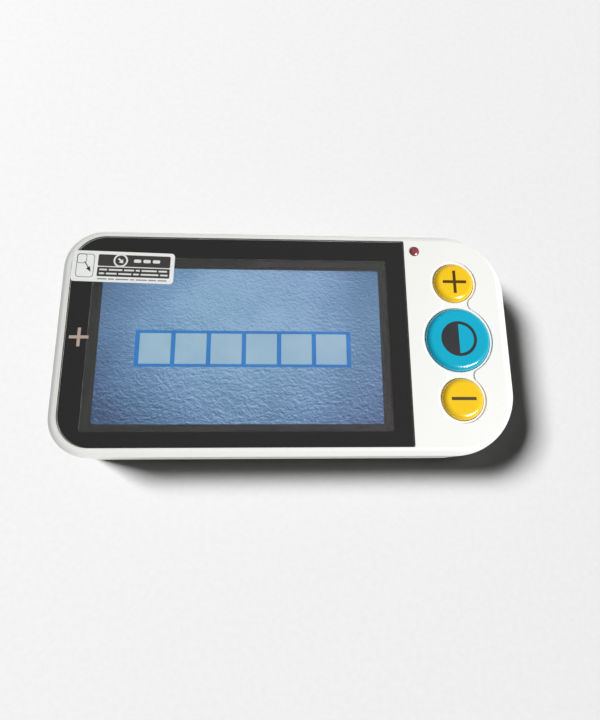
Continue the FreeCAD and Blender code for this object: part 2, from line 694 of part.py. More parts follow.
# ---------------------------------------------------------------- camera and reading lights
cut(cyl(-camera_x, 0, z_base, z_base + 0.85, 9.0), [cyl(-camera_x, 0, z_base - 0.1, z_base + 1.0, 6.3)], "camera_trim")
cyl(-camera_x, 0, z_base + 0.9, z_base + 2.05, 6.9, name="camera_window")
cut(cyl(-camera_x, 0, 3.5, 7.5, 5.5), [cyl(-camera_x, 0, 3.4, 7.6, 4.0)], "camera_barrel")
clens = Solid("camera_lens", -camera_x, 0, 0)
clens.revolve(poly((0, 3.9), (1.6, 4.05), (2.9, 4.5), (3.9, 5.2), (3.9, 6.6), (0, 6.6)))
box(-camera_x - 6, -camera_x + 6, -6.0, 6.0, 7.5, 11.0, name="camera_housing")
box(-camera_x - 8, -camera_x + 8, -8.5, 8.5, 11.0, 11.9, name="camera_board")
cut(box(-camera_x - 7, -camera_x + 7, -19.0, 19.0, 5.0, 5.9), [cyl(-camera_x, 0, 4.9, 6.0, 5.7)], "light_board")
group([box(-camera_x - 1.75, -camera_x + 1.75, light_y * s - 1.4, light_y * s + 1.4, 4.0, 5.0) for s in SIDES], "reading_leds")
group([
    fuse([cyl(-camera_x, light_y * s, z_base + 0.15, 3.3, 3.1), cyl(-camera_x, light_y * s, z_floor, 3.7, 4.2)]) for s in SIDES
], "light_lenses")

# ---------------------------------------------------------------- battery
cell = Solid("battery")
cell.pad(2.7, 8.2, rect(-68.5, -39.9, -26.5, 26.5, 1.2))
box(-37.3, -33.9, 9.0, 21.0, z_floor, board_z, name="battery_connector")
group([box(-39.8, -37.3, y, y + 1.0, 5.0, 6.0) for y in (11.0, 14.5, 18.0)], "battery_contacts")
cover = Solid("battery_cover")
cover.pad(z_base, z_base + 1.15, rect(-cover_left, -cover_right, -cover_half_y, cover_half_y, 3.8))
cover.cut(z_base, z_base + 0.35, *[rect(-66.5 + 2 * i, -65.5 + 2 * i, -9.0, 9.0) for i in range(4)])
cover.cut(z_base, z_base + 0.6, circle(-36.0, 0, head_sink_radius))
cover.cut(z_base + 0.5, z_base + 1.15, circle(-36.0, 0, screw_radius + 0.15))


# ---------------------------------------------------------------- fasteners
def screw(x, y, z_face, head, tip, r_head, r_shank):
    """Cross-recess screw along Z; z_face is the outer face of the head, head its height (signed towards the tip)."""
    up = q(head).v > 0
    z_in = q(z_face) + head
    a, b = (z_face, z_in) if up else (z_in, z_face)
    body = fuse([cyl(x, y, a, b, r_head), cyl(x, y, z_in, tip, r_shank) if up else cyl(x, y, tip, z_in, r_shank)])
    z0, z1 = (q(z_face) - 0.2, q(z_face) + 0.35) if up else (q(z_face) - 0.35, q(z_face) + 0.2)
    w = 0.2 * q(r_head)
    long = 0.65 * q(r_head)
    return cut(body, [box(x - long, x + long, y - w, y + w, z0, z1), box(x - w, x + w, y - long, y + long, z0, z1)])


group([screw(x, y, 2.3, 1.7, t, screw_head_radius, screw_radius) for x, y, t in SCREWS], "case_screws")
group([screw(x, post_y * s, ztop + 1.2, -1.2, 8.6, 1.7, 0.85) for x in (q(-post_left_x), q(post_right_x)) for s in SIDES], "board_screws")
group([screw(q(x), q(y), keyboard_z - 1.1, 1.1, 19.5, 1.6, 0.85) for x, y in POSTS], "keypad_screws")
keep(screw(q(-36.0), q(0), z_base, 0.6, 7.2, screw_head_radius, screw_radius), "battery_cover_screw")
group([cyl(x, y, 0, z_base + 0.45, foot_radius) for x, y in FEET], "rubber_feet")
cyl(-75.0, 0, z_floor, 11.0, 0.8, name="lanyard_pin")

# ---------------------------------------------------------------- front buttons


def plus(half, stroke):
    a, b = q(half), q(stroke) / 2
    return poly((-a, -b), (-b, -b), (-b, -a), (b, -a), (b, -b), (a, -b), (a, b), (b, b), (b, a), (-b, a), (-b, b), (-a, b))


def minus(half, stroke):
    a, b = q(half), q(stroke) / 2
    return rect(-a, a, -b, b)


def half_disc(r):
    """Half disc on the +X side of the button's middle."""
    def draw(sk):
        import math
        rr = q(r)
        arc = sk.addGeometry(Part.ArcOfCircle(Part.Circle(V(0, 0, 0), V(0, 0, 1), rr.v), -math.pi / 2, math.pi / 2), False)
        ln = sk.addGeometry(Part.LineSegment(V(0, rr.v, 0), V(0, -rr.v, 0)), False)
        sk.addConstraint(Sketcher.Constraint("Coincident", arc, 2, ln, 1))
        sk.addConstraint(Sketcher.Constraint("Coincident", ln, 2, arc, 1))
        locate(sk, arc, 3, 0, 0)
        sk.addConstraint(Sketcher.Constraint("Vertical", ln))
        radius(sk, arc, rr)

    return draw


key_top = z_top + key_rise
KEYS = (
    ("zoom_in", key_pitch, key_small, [plus(legend_half, legend_stroke)]),
    ("contrast", q(0), key_large, [circle(0, 0, 6.15), half_disc(5.1)]),
    ("zoom_out", -key_pitch, key_small, [minus(legend_half, legend_stroke)]),
)
for name, y, r, mark in KEYS:
    cap = Solid(name + "_button", key_x, y, 0)
    cap.revolve(poly(
        (0, 19.05), (1.6, 19.05), (1.6, 22.6), (r - 1.6, 22.6), (r - 1.6, 19.75), (r + key_flange, 19.75),
        (r + key_flange, 20.95), (r, 20.95), (r, key_top), (0, key_top)))
    cap.dress("Fillet", 2.0, lambda e: flat_at(key_top)(e) and e.BoundBox.XLength > 1.9 * r.v)
    cap.cut(key_top - legend_depth, key_top, *mark)
    legend = Solid(name + "_legend", key_x, y, 0)
    legend.pad(key_top - legend_depth, key_top + 0.02, *mark)
    cyl(key_x, y, keytop + 1.75, 19.0, 1.7, name=name + "_plunger")

# ---------------------------------------------------------------- side buttons
for name, bx in (("power", power_x), ("freeze", freeze_x)):
    key = Solid(name + "_button")
    key.pad_y(case_half_y - 2.2, case_half_y - 0.1, rect(-bx - side_key_half, -bx + side_key_half, side_key_z - side_key_radius,
              side_key_z + side_key_radius, side_key_radius - 0.05))
    key.dress("Fillet", 0.5, lambda e: abs(e.BoundBox.YMin - case_half_y.v + 0.1) < 1e-4)
    key.pad_y(case_half_y - 3.0, case_half_y - 2.2, rect(-bx - 6.0, -bx + 6.0, side_key_z - 2.9, side_key_z + 2.9, 2.8))
    key.pad_y(35.0, case_half_y - 3.0, circle(-bx, side_key_z, 1.2))
    cyl_y(-bx, side_key_z, 32.8, 34.95, 1.0, name=name + "_plunger")

# ---------------------------------------------------------------- fold-out handle
cyl_y(hinge_x, hinge_z, -recess_half_y - 1.7, recess_half_y + 1.7, hinge_pin_radius, name="hinge_pin")
group([
    cut(cyl_y(hinge_x, hinge_z, a, b, 3.6), [cyl_y(hinge_x, hinge_z, a - 0.1, b + 0.1, hinge_pin_radius + hinge_clear)])
    for a, b in ((handle_half_y + 0.05, recess_half_y - 0.05), (-recess_half_y + 0.05, -handle_half_y - 0.05))
], "friction_washers")

hz0 = hinge_z - handle_half_thick
hz1 = hinge_z + handle_half_thick
grip_z = hz0 + 0.7
handle = Solid("handle_body")
handle.pad(hz0, hz1, rect(handle_tip, hinge_x, -handle_half_y, handle_half_y, (7.0, 0, 0, 7.0)))
handle.dress("Fillet", 1.0, lambda e: (flat_at(hz0)(e) or flat_at(hz1)(e)) and e.BoundBox.XMin < hinge_x.v - 1)
handle.pad_y(-handle_half_y, handle_half_y, circle(hinge_x, hinge_z, handle_half_thick))
handle.cut(hz0 + 1.6, hz1, rect(handle_tip + 2.2, 62.0, -handle_half_y + 2.0, handle_half_y - 2.0, (5.0, 1.0, 1.0, 5.0)))
handle.cut(hz1 - 1.3, hz1, rect(handle_tip + 1.4, 62.8, -handle_half_y + 1.2, handle_half_y - 1.2, (5.8, 1.5, 1.5, 5.8)))
handle.pad(hz0 + 1.5, hz1 - 1.35, circle(7.0, 0, 2.6), circle(54.0, 0, 2.6))
handle.cut(hz0 + 2.2, hz1 - 1.35, circle(7.0, 0, pilot_radius), circle(54.0, 0, pilot_radius))
handle.cut_y(-handle_half_y - 0.2, handle_half_y + 0.2, circle(hinge_x, hinge_z, hinge_pin_radius + hinge_clear))
handle.cut(hz0, grip_z, rect(8.0, 56.0, -10.5, 10.5, 4.0))

lid = Solid("handle_cover")
lid.pad(hz1 - 1.25, hz1 - 0.05, rect(handle_tip + 1.5, 62.7, -handle_half_y + 1.3, handle_half_y - 1.3, (5.7, 1.4, 1.4, 5.7)))
lid.cut(hz1 - 0.7, hz1 - 0.05, circle(7.0, 0, head_sink_radius), circle(54.0, 0, head_sink_radius))
lid.cut(hz1 - 1.25, hz1 - 0.65, circle(7.0, 0, screw_radius + 0.15), circle(54.0, 0, screw_radius + 0.15))
group([screw(q(x), q(0), hz1 - 0.1, -0.55, hz0 + 2.4, screw_head_radius, screw_radius) for x in (7.0, 54.0)], "handle_screws")

grip = Solid("handle_grip")
grip.pad(hz0 + 0.05, grip_z - 0.02, rect(8.1, 55.9, -10.4, 10.4, 3.9))
grip.pad(hz0 - 0.3, hz0 + 0.15, *[rect(11.0 + 4.0 * i, 12.8 + 4.0 * i, -8.0, 8.0, 0.7) for i in range(11)])

# ---------------------------------------------------------------- check and write
doc.recompute()
for o in doc.Objects:
    if "Invalid" in o.State or "Error" in o.State:
        raise RuntimeError("failed object: %s %s" % (o.Name, o.State))
for name, obj in parts:
    if obj.Shape.isNull() or not obj.Shape.isValid() or not obj.Shape.Solids:
        raise RuntimeError("bad shape: " + name)
os.makedirs("parts", exist_ok=True)
for name, obj in parts:
    obj.Shape.exportStep("parts/%s.step" % name)
print(len(parts), "parts written")
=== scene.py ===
import math

import bmesh
import bpy
from mathutils import Matrix, Vector


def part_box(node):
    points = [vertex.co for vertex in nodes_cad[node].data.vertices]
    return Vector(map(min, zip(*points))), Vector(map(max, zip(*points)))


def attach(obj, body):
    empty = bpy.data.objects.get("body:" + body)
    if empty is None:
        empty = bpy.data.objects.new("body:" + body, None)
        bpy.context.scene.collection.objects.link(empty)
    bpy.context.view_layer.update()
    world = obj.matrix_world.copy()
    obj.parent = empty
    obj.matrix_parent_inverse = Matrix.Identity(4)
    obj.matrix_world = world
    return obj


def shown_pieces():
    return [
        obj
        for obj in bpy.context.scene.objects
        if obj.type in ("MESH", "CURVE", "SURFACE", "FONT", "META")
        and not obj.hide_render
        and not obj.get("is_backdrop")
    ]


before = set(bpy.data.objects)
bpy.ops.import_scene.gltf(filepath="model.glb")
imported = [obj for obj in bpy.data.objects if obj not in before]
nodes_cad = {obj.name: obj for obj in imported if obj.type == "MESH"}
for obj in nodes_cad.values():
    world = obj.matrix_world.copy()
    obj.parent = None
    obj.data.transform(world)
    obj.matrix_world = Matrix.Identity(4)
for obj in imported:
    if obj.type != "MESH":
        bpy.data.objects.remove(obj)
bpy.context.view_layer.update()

MM = 0.001


def lin(r, g, b):
    """sRGB 0..255 to linear."""
    out = []
    for v in (r, g, b):
        v = v / 255.0
        out.append(v / 12.92 if v <= 0.04045 else ((v + 0.055) / 1.055) ** 2.4)
    return (*out, 1.0)


# ------------------------------------------------------------------ camera
cam_data = bpy.data.cameras.new("camera")
cam = bpy.data.objects.new("camera", cam_data)
bpy.context.scene.collection.objects.link(cam)
cam_data.sensor_width = 36.0
cam_data.lens = 24.794
cam_data.clip_start = 0.01
cam_data.clip_end = 20.0
turn = Matrix(((0.99864512, -0.00513717, -0.05178355), (-0.00692617, 0.97313969, -0.23011121), (0.05157474, 0.2301581, 0.97178562)))
cam.matrix_world = Matrix.Translation((-0.0042897, -0.0455352, 0.1835163)) @ turn.to_4x4()
bpy.context.scene.camera = cam


# ------------------------------------------------------------------ material helpers
class Mat:
    """A Principled material with nodes in the object's own coordinates (metres)."""

    def __init__(self, name):
        self.m = bpy.data.materials.new(name)
        self.m.use_nodes = True
        self.nt = self.m.node_tree
        self.b = self.nt.nodes["Principled BSDF"]
        self.coord = self.nt.nodes.new("ShaderNodeTexCoord")
        self.heights = []

    def link(self, a, b):
        self.nt.links.new(a, b)

    def node(self, kind, **values):
        n = self.nt.nodes.new(kind)
        for k, v in values.items():
            setattr(n, k, v)
        return n

    def mapped(self, scale=(1, 1, 1), offset=(0, 0, 0)):
        n = self.node("ShaderNodeMapping")
        n.inputs["Scale"].default_value = scale
        n.inputs["Location"].default_value = offset
        self.link(self.coord.outputs["Object"], n.inputs["Vector"])
        return n.outputs["Vector"]

    def noise(self, scale, detail=3.0, rough=0.5, distortion=0.0, vector=None):
        n = self.node("ShaderNodeTexNoise")
        n.inputs["Scale"].default_value = scale
        n.inputs["Detail"].default_value = detail
        n.inputs["Roughness"].default_value = rough
        n.inputs["Distortion"].default_value = distortion
        self.link(vector if vector is not None else self.coord.outputs["Object"], n.inputs["Vector"])
        return n.outputs["Fac"]

    def voronoi(self, scale, feature="F1", vector=None):
        n = self.node("ShaderNodeTexVoronoi", feature=feature)
        n.inputs["Scale"].default_value = scale
        self.link(vector if vector is not None else self.coord.outputs["Object"], n.inputs["Vector"])
        return n.outputs["Distance"]

    def ramp(self, fac, *stops, interpolation="LINEAR"):
        n = self.node("ShaderNodeValToRGB")
        n.color_ramp.interpolation = interpolation
        e = n.color_ramp.elements
        e[0].position, e[0].color = stops[0]
        e[1].position, e[1].color = stops[-1]
        for pos, col in stops[1:-1]:
            k = e.new(pos)
            k.color = col
        self.link(fac, n.inputs["Fac"])
        return n.outputs["Color"]

    def remap(self, value, a0, a1, b0, b1):
        n = self.node("ShaderNodeMapRange")
        for i, v in enumerate((a0, a1, b0, b1)):
            n.inputs[i + 1].default_value = v
        self.link(value, n.inputs[0])
        return n.outputs[0]

    def math(self, op, a, b=None, clamp=False):
        n = self.node("ShaderNodeMath", operation=op, use_clamp=clamp)
        for i, v in enumerate((a, b)):
            if v is None:
                continue
            if isinstance(v, (int, float)):
                n.inputs[i].default_value = v
            else:
                self.link(v, n.inputs[i])
        return n.outputs[0]

    def mix(self, fac, a, b, blend="MIX"):
        n = self.node("ShaderNodeMix", data_type="RGBA", blend_type=blend)
        for sock, v in ((n.inputs[0], fac), (n.inputs[6], a), (n.inputs[7], b)):
            if isinstance(v, (int, float, tuple)):
                sock.default_value = v
            else:
                self.link(v, sock)
        return n.outputs[2]

    def colour(self, out):
        if isinstance(out, tuple):
            self.b.inputs["Base Color"].default_value = out
        else:
            self.link(out, self.b.inputs["Base Color"])

    def rough(self, out):
        if isinstance(out, (int, float)):
            self.b.inputs["Roughness"].default_value = out
        else:
            self.link(out, self.b.inputs["Roughness"])

    def bump(self, height, strength, distance):
        self.heights.append((height, strength, distance))

    def done(self, **sockets):
        prev = None
        for height, strength, distance in self.heights:
            n = self.node("ShaderNodeBump")
            n.inputs["Strength"].default_value = strength
            n.inputs["Distance"].default_value = distance
            self.link(height, n.inputs["Height"])
            if prev is not None:
                self.link(prev, n.inputs["Normal"])
            prev = n.outputs["Normal"]
        if prev is not None:
            self.link(prev, self.b.inputs["Normal"])
        for k, v in sockets.items():
            self.b.inputs[k.replace("_", " ")].default_value = v
        return self.m


def moulded(name, colour, rough=(0.28, 0.4), grain=1800, grain_depth=0.02, mottle=0.03, coat=0.0, tint=None, sss=0.0):
    """Moulded plastic: faint tone variation, fine grain and uneven gloss."""
    m = Mat(name)
    dark = tuple(c * (1 - mottle) for c in colour[:3]) + (1,)
    light = tuple(min(1.0, c * (1 + mottle * 0.5)) for c in colour[:3]) + (1,)
    big = m.noise(38, 4, 0.55)
    fine = m.noise(grain, 2, 0.6)
    smear = m.noise(120, 5, 0.6, 0.8)
    base = m.ramp(big, (0.35, dark), (0.65, light))
    if tint is not None:
        base = m.mix(m.remap(smear, 0.45, 0.85, 0.0, 0.12), base, tint)
    m.colour(base)
    m.rough(m.remap(smear, 0.3, 0.7, rough[0], rough[1]))
    m.bump(fine, 0.35, grain_depth * MM)
    m.bump(big, 0.04, 0.05 * MM)
    m.done(Coat_Weight=coat, Coat_Roughness=0.12, IOR=1.49)
    if sss:
        m.b.inputs["Subsurface Weight"].default_value = sss
        m.b.inputs["Subsurface Radius"].default_value = (0.8 * MM, 0.6 * MM, 0.4 * MM)
        m.b.inputs["Subsurface Scale"].default_value = 1.0
    return m.m


def metal(name, colour, rough=(0.22, 0.4), stretch=(1, 1, 30), scale=900):
    m = Mat(name)
    lines = m.noise(scale, 3, 0.6, vector=m.mapped(stretch))
    cloud = m.noise(150, 3)
    m.colour(m.ramp(cloud, (0.3, tuple(c * 0.88 for c in colour[:3]) + (1,)), (0.7, colour)))
    m.rough(m.remap(lines, 0.3, 0.7, rough[0], rough[1]))
    m.bump(lines, 0.25, 0.01 * MM)
    return m.done(Metallic=1.0)


# ------------------------------------------------------------------ materials
white = moulded("case_white_front", lin(247, 247, 244), rough=(0.27, 0.32), grain=2600, grain_depth=0.006, mottle=0.012, coat=0.25, tint=lin(240, 240, 238))
white_rear = moulded("case_white_rear", lin(240, 240, 236), rough=(0.42, 0.55), grain=1900, grain_depth=0.03, mottle=0.02, tint=lin(228, 228, 224))
white_handle = moulded("case_white_handle", lin(238, 238, 234), rough=(0.36, 0.5), grain=2100, grain_depth=0.022, mottle=0.025, tint=lin(225, 225, 221))
yellow = moulded("button_yellow_gloss", lin(255, 207, 36), rough=(0.16, 0.24), grain=2400, grain_depth=0.004, mottle=0.04, coat=0.6, sss=0.12)
blue = moulded("button_blue_gloss", lin(22, 178, 210), rough=(0.16, 0.24), grain=2400, grain_depth=0.004, mottle=0.05, coat=0.6, sss=0.08)
legend = moulded("legend_dark", lin(44, 45, 49), rough=(0.4, 0.55), grain=3000, grain_depth=0.006, mottle=0.12)
legend_brown = moulded("legend_brown", lin(84, 59, 8), rough=(0.35, 0.5), grain=3000, grain_depth=0.006, mottle=0.12)
side_key = moulded("side_key_grey", lin(168, 170, 172), rough=(0.3, 0.4), grain=2200, grain_depth=0.01, mottle=0.04)
black_trim = moulded("trim_black", lin(28, 28, 30), rough=(0.18, 0.3), grain=2000, grain_depth=0.006, mottle=0.15, coat=0.4)
component = moulded("component_black", lin(34, 34, 36), rough=(0.45, 0.6), grain=1500, grain_depth=0.02, mottle=0.15)
diffuser = moulded("diffuser_white", lin(235, 236, 232), rough=(0.5, 0.6), mottle=0.03)
washer = moulded("washer_black", lin(45, 45, 46), rough=(0.45, 0.6), mottle=0.1)
wrap = moulded("battery_wrap", lin(92, 102, 112), rough=(0.3, 0.45), mottle=0.08)
plunger = moulded("plunger_dark", lin(40, 40, 42), rough=(0.4, 0.5), mottle=0.1)
flex = moulded("flex_amber", lin(196, 128, 52), rough=(0.28, 0.4), mottle=0.12)
led_white = moulded("led_package", lin(240, 228, 150), rough=(0.2, 0.3), mottle=0.1)
steel = metal("plate_steel", lin(200, 201, 204))
pin_steel = metal("pin_steel", lin(190, 191, 195), rough=(0.15, 0.3), stretch=(1, 20, 1))
screw_steel = metal("screw_steel", lin(150, 152, 158), rough=(0.25, 0.45), stretch=(6, 6, 1), scale=1500)
gold = metal("contact_gold", lin(226, 184, 92), rough=(0.15, 0.3))

# rubber with a stippled surface
m = Mat("rubber_grey")
stipple = m.voronoi(1600)
soft = m.noise(160, 4, 0.6)
m.colour(m.ramp(soft, (0.3, lin(62, 63, 65)), (0.7, lin(84, 85, 87))))
m.rough(m.remap(soft, 0.3, 0.7, 0.62, 0.8))
m.bump(stipple, 0.5, 0.06 * MM)
rubber = m.done()

# circuit board: solder mask with a faint trace pattern
m = Mat("board_green")
traces = m.node("ShaderNodeTexBrick")
traces.inputs["Scale"].default_value = 420
traces.inputs["Mortar Size"].default_value = 0.03
traces.inputs["Color1"].default_value = lin(18, 98, 58)
traces.inputs["Color2"].default_value = lin(22, 108, 64)
traces.inputs["Mortar"].default_value = lin(34, 128, 78)
m.link(m.coord.outputs["Object"], traces.inputs["Vector"])
m.colour(traces.outputs["Color"])
m.rough(m.remap(m.noise(300), 0.3, 0.7, 0.25, 0.4))
board = m.done()

# black adhesive gasket seen through the window: the window's border
m = Mat("border_black")
veil = m.noise(30, 3)
m.colour(m.ramp(veil, (0.35, lin(46, 50, 46)), (0.65, lin(62, 58, 58))))
m.rough(m.remap(m.noise(900), 0.3, 0.7, 0.5, 0.65))
border = m.done()

m = Mat("lcd_bezel")
veil = m.noise(60, 3)
m.colour(m.ramp(veil, (0.35, lin(42, 40, 37)), (0.65, lin(57, 53, 49))))
m.rough(m.remap(m.noise(1200, vector=m.mapped((1, 14, 1))), 0.3, 0.7, 0.35, 0.5))
m.bump(m.noise(1200, vector=m.mapped((1, 14, 1))), 0.2, 0.01 * MM)
bezel = m.done(Metallic=0.4)

# clear window under its protective film: polished, a trace of smears in the gloss and a faint diffuse haze
m = Mat("window_clear")
smear = m.noise(70, 5, 0.62, 1.2)
m.colour(m.ramp(m.noise(26, 3), (0.38, lin(248, 253, 249)), (0.62, lin(255, 251, 252))))
m.rough(m.remap(smear, 0.45, 0.8, 0.0, 0.045))
window = m.done(Transmission_Weight=0.972, IOR=1.5)

m = Mat("optic_clear")
haze = m.noise(400, 3)
m.colour(m.ramp(haze, (0.3, lin(238, 244, 247)), (0.7, lin(248, 251, 252))))
m.rough(m.remap(haze, 0.3, 0.7, 0.0, 0.03))
optic = m.done(Transmission_Weight=1.0, IOR=1.49)

# red diffused dome
m = Mat("led_red")
haze = m.noise(900, 3)
m.colour(m.ramp(haze, (0.3, lin(140, 62, 68)), (0.7, lin(172, 90, 94))))
m.rough(m.remap(haze, 0.3, 0.7, 0.08, 0.18))
led_red = m.done(Transmission_Weight=0.12, IOR=1.5, Coat_Weight=0.5, Coat_Roughness=0.05)

# label film
m = Mat("sticker_white")
pulp = m.noise(500, 5, 0.6)
m.colour(m.ramp(pulp, (0.3, lin(238, 240, 238)), (0.7, lin(248, 249, 247))))
m.rough(m.remap(pulp, 0.3, 0.7, 0.32, 0.45))
m.bump(m.noise(60, 2), 0.2, 0.05 * MM)
label = m.done(Coat_Weight=0.2)


def ink(name, colour, rough=(0.4, 0.5)):
    m = Mat(name)
    n = m.noise(1400, 4, 0.7)
    m.colour(m.ramp(n, (0.3, tuple(c * 0.8 for c in colour[:3]) + (1,)), (0.7, colour)))
    m.rough(m.remap(n, 0.3, 0.7, rough[0], rough[1]))
    return m.done()


ink_dark = ink("ink_dark", lin(70, 68, 66))
ink_grey = ink("ink_grey", lin(150, 156, 152))
ink_white = ink("ink_white", lin(238, 240, 238))
ink_pale = ink("ink_pale", lin(196, 176, 164))

SLOT_LOOK = {
    "rear_shell": white_rear, "battery_cover": white_rear, "front_shell": white,
    "handle_body": white_handle, "handle_cover": white_handle,
    "display_window": window, "window_gasket": border, "screen_sticker": label, "lcd_frame": bezel,
    "lcd_backlight": diffuser, "lcd_ribbon": flex, "keypad_ribbon": flex,
    "main_board": board, "keypad_board": board, "camera_board": board, "light_board": board,
    "board_chips": component, "camera_housing": component, "buzzer": component, "battery_connector": component,
    "tact_switches": component, "side_switches": component, "av_jack": component,
    "processor_shield": steel, "usb_port": steel, "hinge_pin": pin_steel, "lanyard_pin": pin_steel,
    "case_screws": screw_steel, "board_screws": screw_steel, "keypad_screws": screw_steel,
    "handle_screws": screw_steel, "battery_cover_screw": screw_steel, "battery_contacts": gold,
    "reading_leds": led_white, "status_led": led_white, "status_led_lens": led_red,
    "camera_window": optic, "camera_lens": optic, "light_lenses": optic,
    "camera_trim": black_trim, "camera_barrel": black_trim, "rubber_feet": rubber, "handle_grip": rubber,
    "friction_washers": washer, "battery": wrap, "zoom_in_button": yellow, "zoom_out_button": yellow,
    "contrast_button": blue, "zoom_in_legend": legend_brown, "zoom_out_legend": legend_brown, "contrast_legend": legend,
    "zoom_in_plunger": plunger, "zoom_out_plunger": plunger, "contrast_plunger": plunger,
    "power_plunger": plunger, "freeze_plunger": plunger, "power_button": side_key, "freeze_button": side_key,
}

# ------------------------------------------------------------------ display picture
CX, CY = -15.45, -1.69


def picture_material():
    """Lit picture: blue grained leather under a low light, finer at the top, with darker corners."""
    m = Mat("picture_leather")
    sep = m.node("ShaderNodeSeparateXYZ")
    m.link(m.coord.outputs["Object"], sep.inputs[0])
    x = m.remap(sep.outputs["X"], (CX - 47.5) * MM, (CX + 47.5) * MM, -1.0, 1.0)
    y = m.remap(sep.outputs["Y"], (CY - 26.9) * MM, (CY + 26.9) * MM, -1.0, 1.0)
    # wrinkles lit from above: the difference of a height field and its shifted copy
    def relief(scale, stretch, shift, detail, rough):
        a = m.noise(scale, detail, rough, 0.6, m.mapped((stretch, 1, 1)))
        b = m.noise(scale, detail, rough, 0.6, m.mapped((stretch, 1, 1), (shift * 0.35, shift, 0)))
        return m.math("SUBTRACT", a, b)
    coarse = relief(760, 0.8, 0.00034, 3, 0.6)
    fine = relief(1250, 0.85, 0.00022, 3, 0.65)
    low = m.remap(y, -1.0, 0.45, 1.0, 0.25)
    grain = m.math("ADD", m.math("MULTIPLY", m.math("MULTIPLY", coarse, low), 2.5), m.math("MULTIPLY", fine, 1.45))
    # light pool: bright at the top middle and to the right of the middle, dark towards the corners
    px = m.math("SUBTRACT", x, 0.07)
    py = m.math("SUBTRACT", y, 0.30)
    r2 = m.math("ADD", m.math("MULTIPLY", m.math("MULTIPLY", px, px), 0.50), m.math("MULTIPLY", m.math("MULTIPLY", py, py), 0.25))
    pool = m.math("SUBTRACT", 1.0, r2)
    cloud = m.remap(m.noise(55, 3), 0.3, 0.7, -0.10, 0.10)
    level = m.math("ADD", m.math("ADD", pool, cloud), grain, clamp=True)
    colour = m.ramp(
        level, (0.0, lin(38, 65, 106)), (0.3, lin(74, 106, 150)), (0.55, lin(91, 126, 166)), (0.8, lin(112, 150, 193)), (1.0, lin(144, 181, 215))
    )
    m.link(colour, m.b.inputs["Emission Color"])
    m.colour(lin(8, 10, 14))
    return m.done(Emission_Strength=1.0, Roughness=0.5)


def lit(name, a, b, scale=2400):
    m = Mat(name)
    # fine display dot structure
    dots = m.noise(scale, 2, 0.5)
    wash = m.noise(120, 2)
    both = m.math("ADD", m.math("MULTIPLY", dots, 0.4), m.math("MULTIPLY", wash, 0.6))
    m.link(m.ramp(both, (0.38, a), (0.62, b)), m.b.inputs["Emission Color"])
    m.colour(lin(8, 10, 14))
    return m.done(Emission_Strength=1.0, Roughness=0.5)


picture = picture_material()
cell_lit = lit("picture_cell", lin(144, 180, 208), lin(160, 190, 212))
line_lit = lit("picture_line", lin(1, 110, 192), lin(3, 124, 204))

for name, material in SLOT_LOOK.items():
    ob = nodes_cad[name]
    for s in ob.material_slots:
        s.material = material
for s in nodes_cad["lcd_panel"].material_slots:
    s.material = component


# ------------------------------------------------------------------ mesh helpers
def arc_pts(cx, cy, r, a0, a1, n):
    return [(cx + r * math.cos(math.radians(a0 + (a1 - a0) * i / n)), cy + r * math.sin(math.radians(a0 + (a1 - a0) * i / n))) for i in range(n + 1)]


def round_rect(x0, x1, y0, y1, r, n=8):
    rr = r if isinstance(r, tuple) else (r, r, r, r)
    pts = []
    for (cx, cy, a), k in zip(((x0, y0, 180), (x1, y0, 270), (x1, y1, 0), (x0, y1, 90)), rr):
        if k <= 0:
            pts.append((cx, cy))
            continue
        sx = k if cx == x0 else -k
        sy = k if cy == y0 else -k
        pts += arc_pts(cx + sx, cy + sy, k, a, a + 90, n)
    return pts


def turned(pts, angle, cx=0.0, cy=0.0, dx=0.0, dy=0.0):
    c, s = math.cos(math.radians(angle)), math.sin(math.radians(angle))
    return [(c * (x - cx) - s * (y - cy) + cx + dx, s * (x - cx) + c * (y - cy) + cy + dy) for x, y in pts]


def slab(bm, outer, z0, z1, inner=None):
    """Closed thin solid (mm in, metres out) with an optional hole of the same point count."""
    def ring(pts, z):
        return [bm.verts.new((x * MM, y * MM, z * MM)) for x, y in pts]

    n = len(outer)
    ob, ot = ring(outer, z0), ring(outer, z1)
    for i in range(n):
        j = (i + 1) % n
        bm.faces.new((ob[i], ob[j], ot[j], ot[i]))
    if inner is None:
        bm.faces.new(ot)
        bm.faces.new(list(reversed(ob)))
    else:
        ib, it = ring(inner, z0), ring(inner, z1)
        for i in range(n):
            j = (i + 1) % n
            bm.faces.new((it[i], it[j], ib[j], ib[i]))
            bm.faces.new((ot[i], ot[j], it[j], it[i]))
            bm.faces.new((ib[i], ib[j], ob[j], ob[i]))


def piece(name, build, material, body="case"):
    me = bpy.data.meshes.new(name)
    bm = bmesh.new()
    build(bm)
    bmesh.ops.recalc_face_normals(bm, faces=bm.faces)
    bm.to_mesh(me)
    bm.free()
    me.materials.append(material)
    ob = bpy.data.objects.new(name, me)
    bpy.context.scene.collection.objects.link(ob)
    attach(ob, body)
    return ob


lcd_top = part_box("lcd_panel")[1].z / MM
zp = lcd_top + 0.006
AX0, AX1, AY0, AY1 = -62.97, 32.07, -28.62, 25.24
BX0, BX1, BY0, BY1 = -50.8, 21.74, -9.63, 2.96


def build_ground(bm):
    # the picture round the row of boxes: four strips, so that nothing lies under the boxes
    slab(bm, round_rect(AX0, AX1, AY0, BY0, (1.3, 0.5, 0, 0)), zp, zp + 0.01)
    slab(bm, round_rect(AX0, AX1, BY1, AY1, (0, 0, 0.5, 0.5)), zp, zp + 0.01)
    slab(bm, round_rect(AX0, BX0, BY0, BY1, 0), zp, zp + 0.01)
    slab(bm, round_rect(BX1, AX1, BY0, BY1, 0), zp, zp + 0.01)


BAR, SIDE, RULE = 1.5, 1.55, 1.02
CW = (BX1 - BX0 - 2 * SIDE - 5 * BAR) / 6


